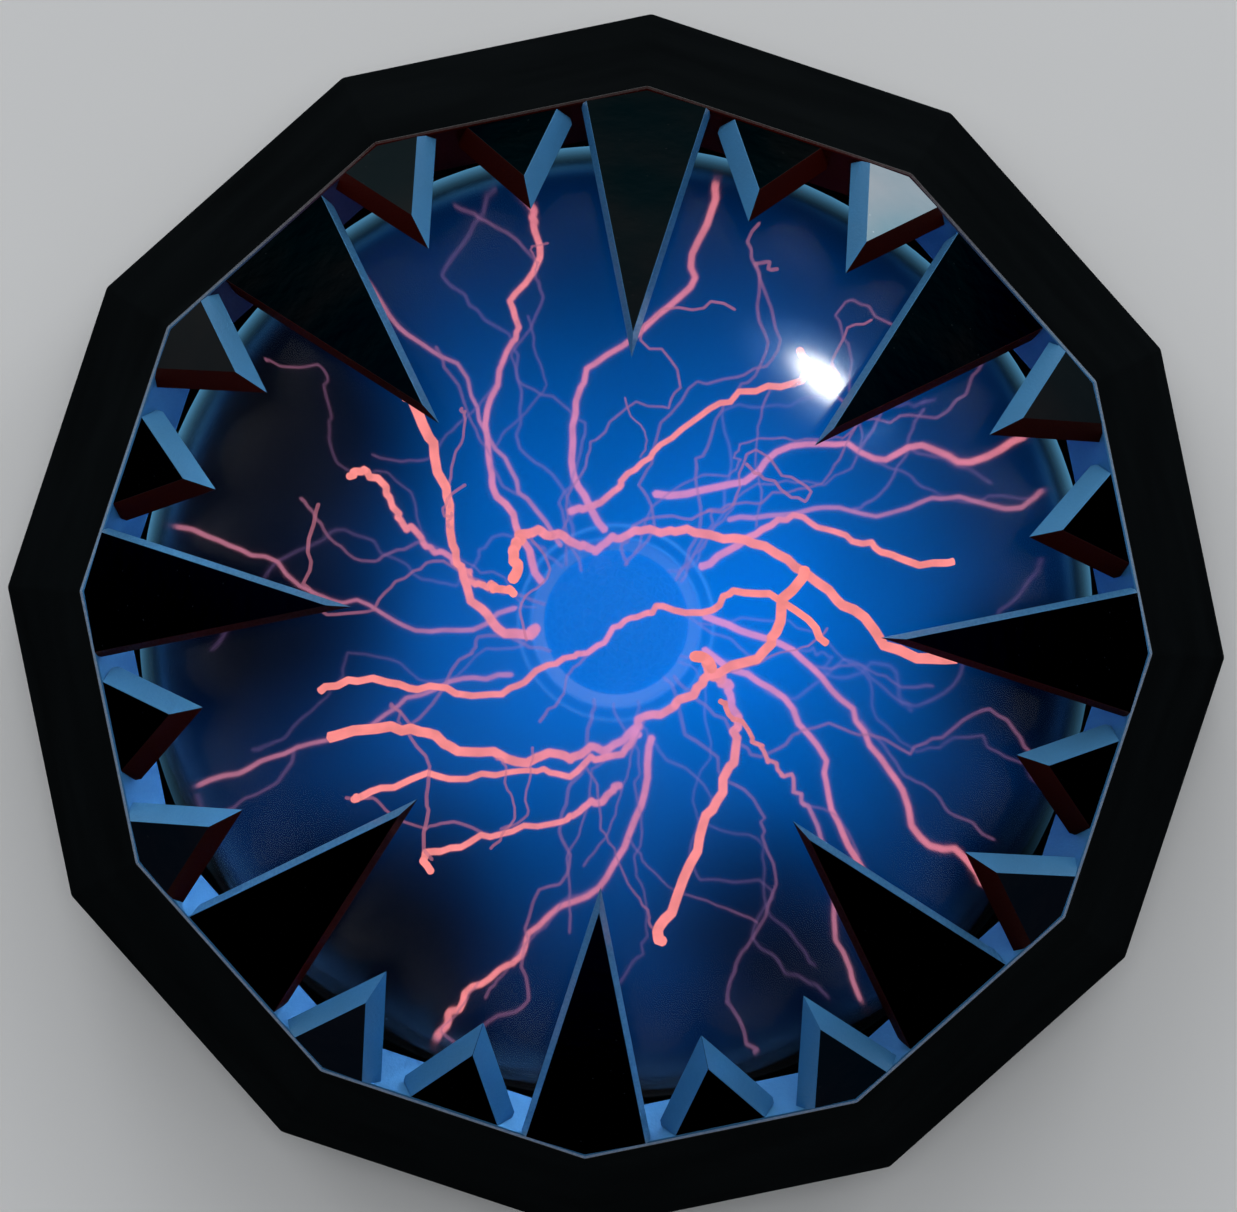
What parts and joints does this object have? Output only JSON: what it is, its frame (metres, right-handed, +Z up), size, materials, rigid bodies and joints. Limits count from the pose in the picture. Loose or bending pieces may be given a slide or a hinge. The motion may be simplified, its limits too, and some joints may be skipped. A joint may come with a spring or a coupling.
{
  "type": "plasma ball",
  "caption": "Plasma ball: a sealed glass globe with a central electrode in a flared twelve-sided housing, under a crown of long and short claws; rear sound switch and sensitivity knob.",
  "frame": {"origin": "centre of the footprint, on the surface that the feet stand on", "axes": "+Z up the axis of the globe, +Y to the rear side with the control bay, +X to the right seen from the front"},
  "size_m": [0.2036, 0.2036, 0.186],
  "materials": {
    "housing_black": "high gloss black",
    "base_black": "matt moulded black",
    "claw_black": "gloss black face, satin steel-blue sides",
    "steel_blue": "satin steel-blue lacquer",
    "rubber": "matt black rubber",
    "globe_glass": "clear polished glass",
    "stem_glass": "clear polished glass",
    "wool": "dark conductive filling",
    "brass": "plain brass",
    "screw_steel": "zinc-plated",
    "board_green": "solder mask",
    "ferrite": "matt ferrite",
    "coil_tape": "taped winding",
    "sink_aluminium": "plain extruded",
    "chip_black": "moulded black",
    "can_blue": "plastic sleeve",
    "capsule_grey": "satin",
    "wire_red": "silicone insulation",
    "wire_black": "PVC insulation"
  },
  "bodies": {
    "housing": {"base_plate": "base_black", "capacitors": "can_blue", "crown_ring": "steel_blue", "crown_screws": "screw_steel", "dc_jack": "chip_black", "dc_jack_pin": "brass", "driver_board": "board_green", "electrode_lead": "brass", "electrode_stem": "stem_glass", "electrode_wool": "wool", "facet_cowl": "housing_black", "flyback_coil": "coil_tape", "flyback_core": "ferrite", "glass_globe": "globe_glass", "globe_cradle": "base_black", "heat_sink": "sink_aluminium", "housing_screws": "screw_steel", "hv_lead": "wire_red", "inner_screws": "screw_steel", "long_claw_1": "claw_black", "long_claw_2": "claw_black", "long_claw_3": "claw_black", "long_claw_4": "claw_black", "long_claw_5": "claw_black", "long_claw_6": "claw_black", "long_claw_7": "claw_black", "long_claw_8": "claw_black", "microphone": "capsule_grey", "mode_switch_body": "sink_aluminium", "neck_cup": "base_black", "neck_grommet": "rubber", "panel_leads": "wire_black", "plinth_shell": "housing_black", "potentiometer_body": "sink_aluminium", "potentiometer_nut": "screw_steel", "rim_trim_ring": "steel_blue", "rubber_feet": "rubber", "seat_ring": "rubber", "short_claw_1": "claw_black", "short_claw_10": "claw_black", "short_claw_11": "claw_black", "short_claw_12": "claw_black", "short_claw_13": "claw_black", "short_claw_14": "claw_black", "short_claw_15": "claw_black", "short_claw_16": "claw_black", "short_claw_2": "claw_black", "short_claw_3": "claw_black", "short_claw_4": "claw_black", "short_claw_5": "claw_black", "short_claw_6": "claw_black", "short_claw_7": "claw_black", "short_claw_8": "claw_black", "short_claw_9": "claw_black", "switching_transistor": "chip_black", "timer_chip": "chip_black"},
    "mode_lever": {"mode_switch_lever": "chip_black"},
    "knob": {"sensitivity_knob": "housing_black", "potentiometer_shaft": "screw_steel"}
  },
  "joints": [
    {"name": "mode_slide", "type": "slide", "parent": "housing", "child": "mode_lever", "axis": [1, 0, 0], "range_m": [-0.002, 0.002]},
    {"name": "sensitivity_turn", "type": "hinge", "parent": "housing", "child": "knob", "pos_m": [0.014, 0.10178, 0.0165], "axis": [0, 1, 0], "range_deg": [-150, 150]}
  ]
}
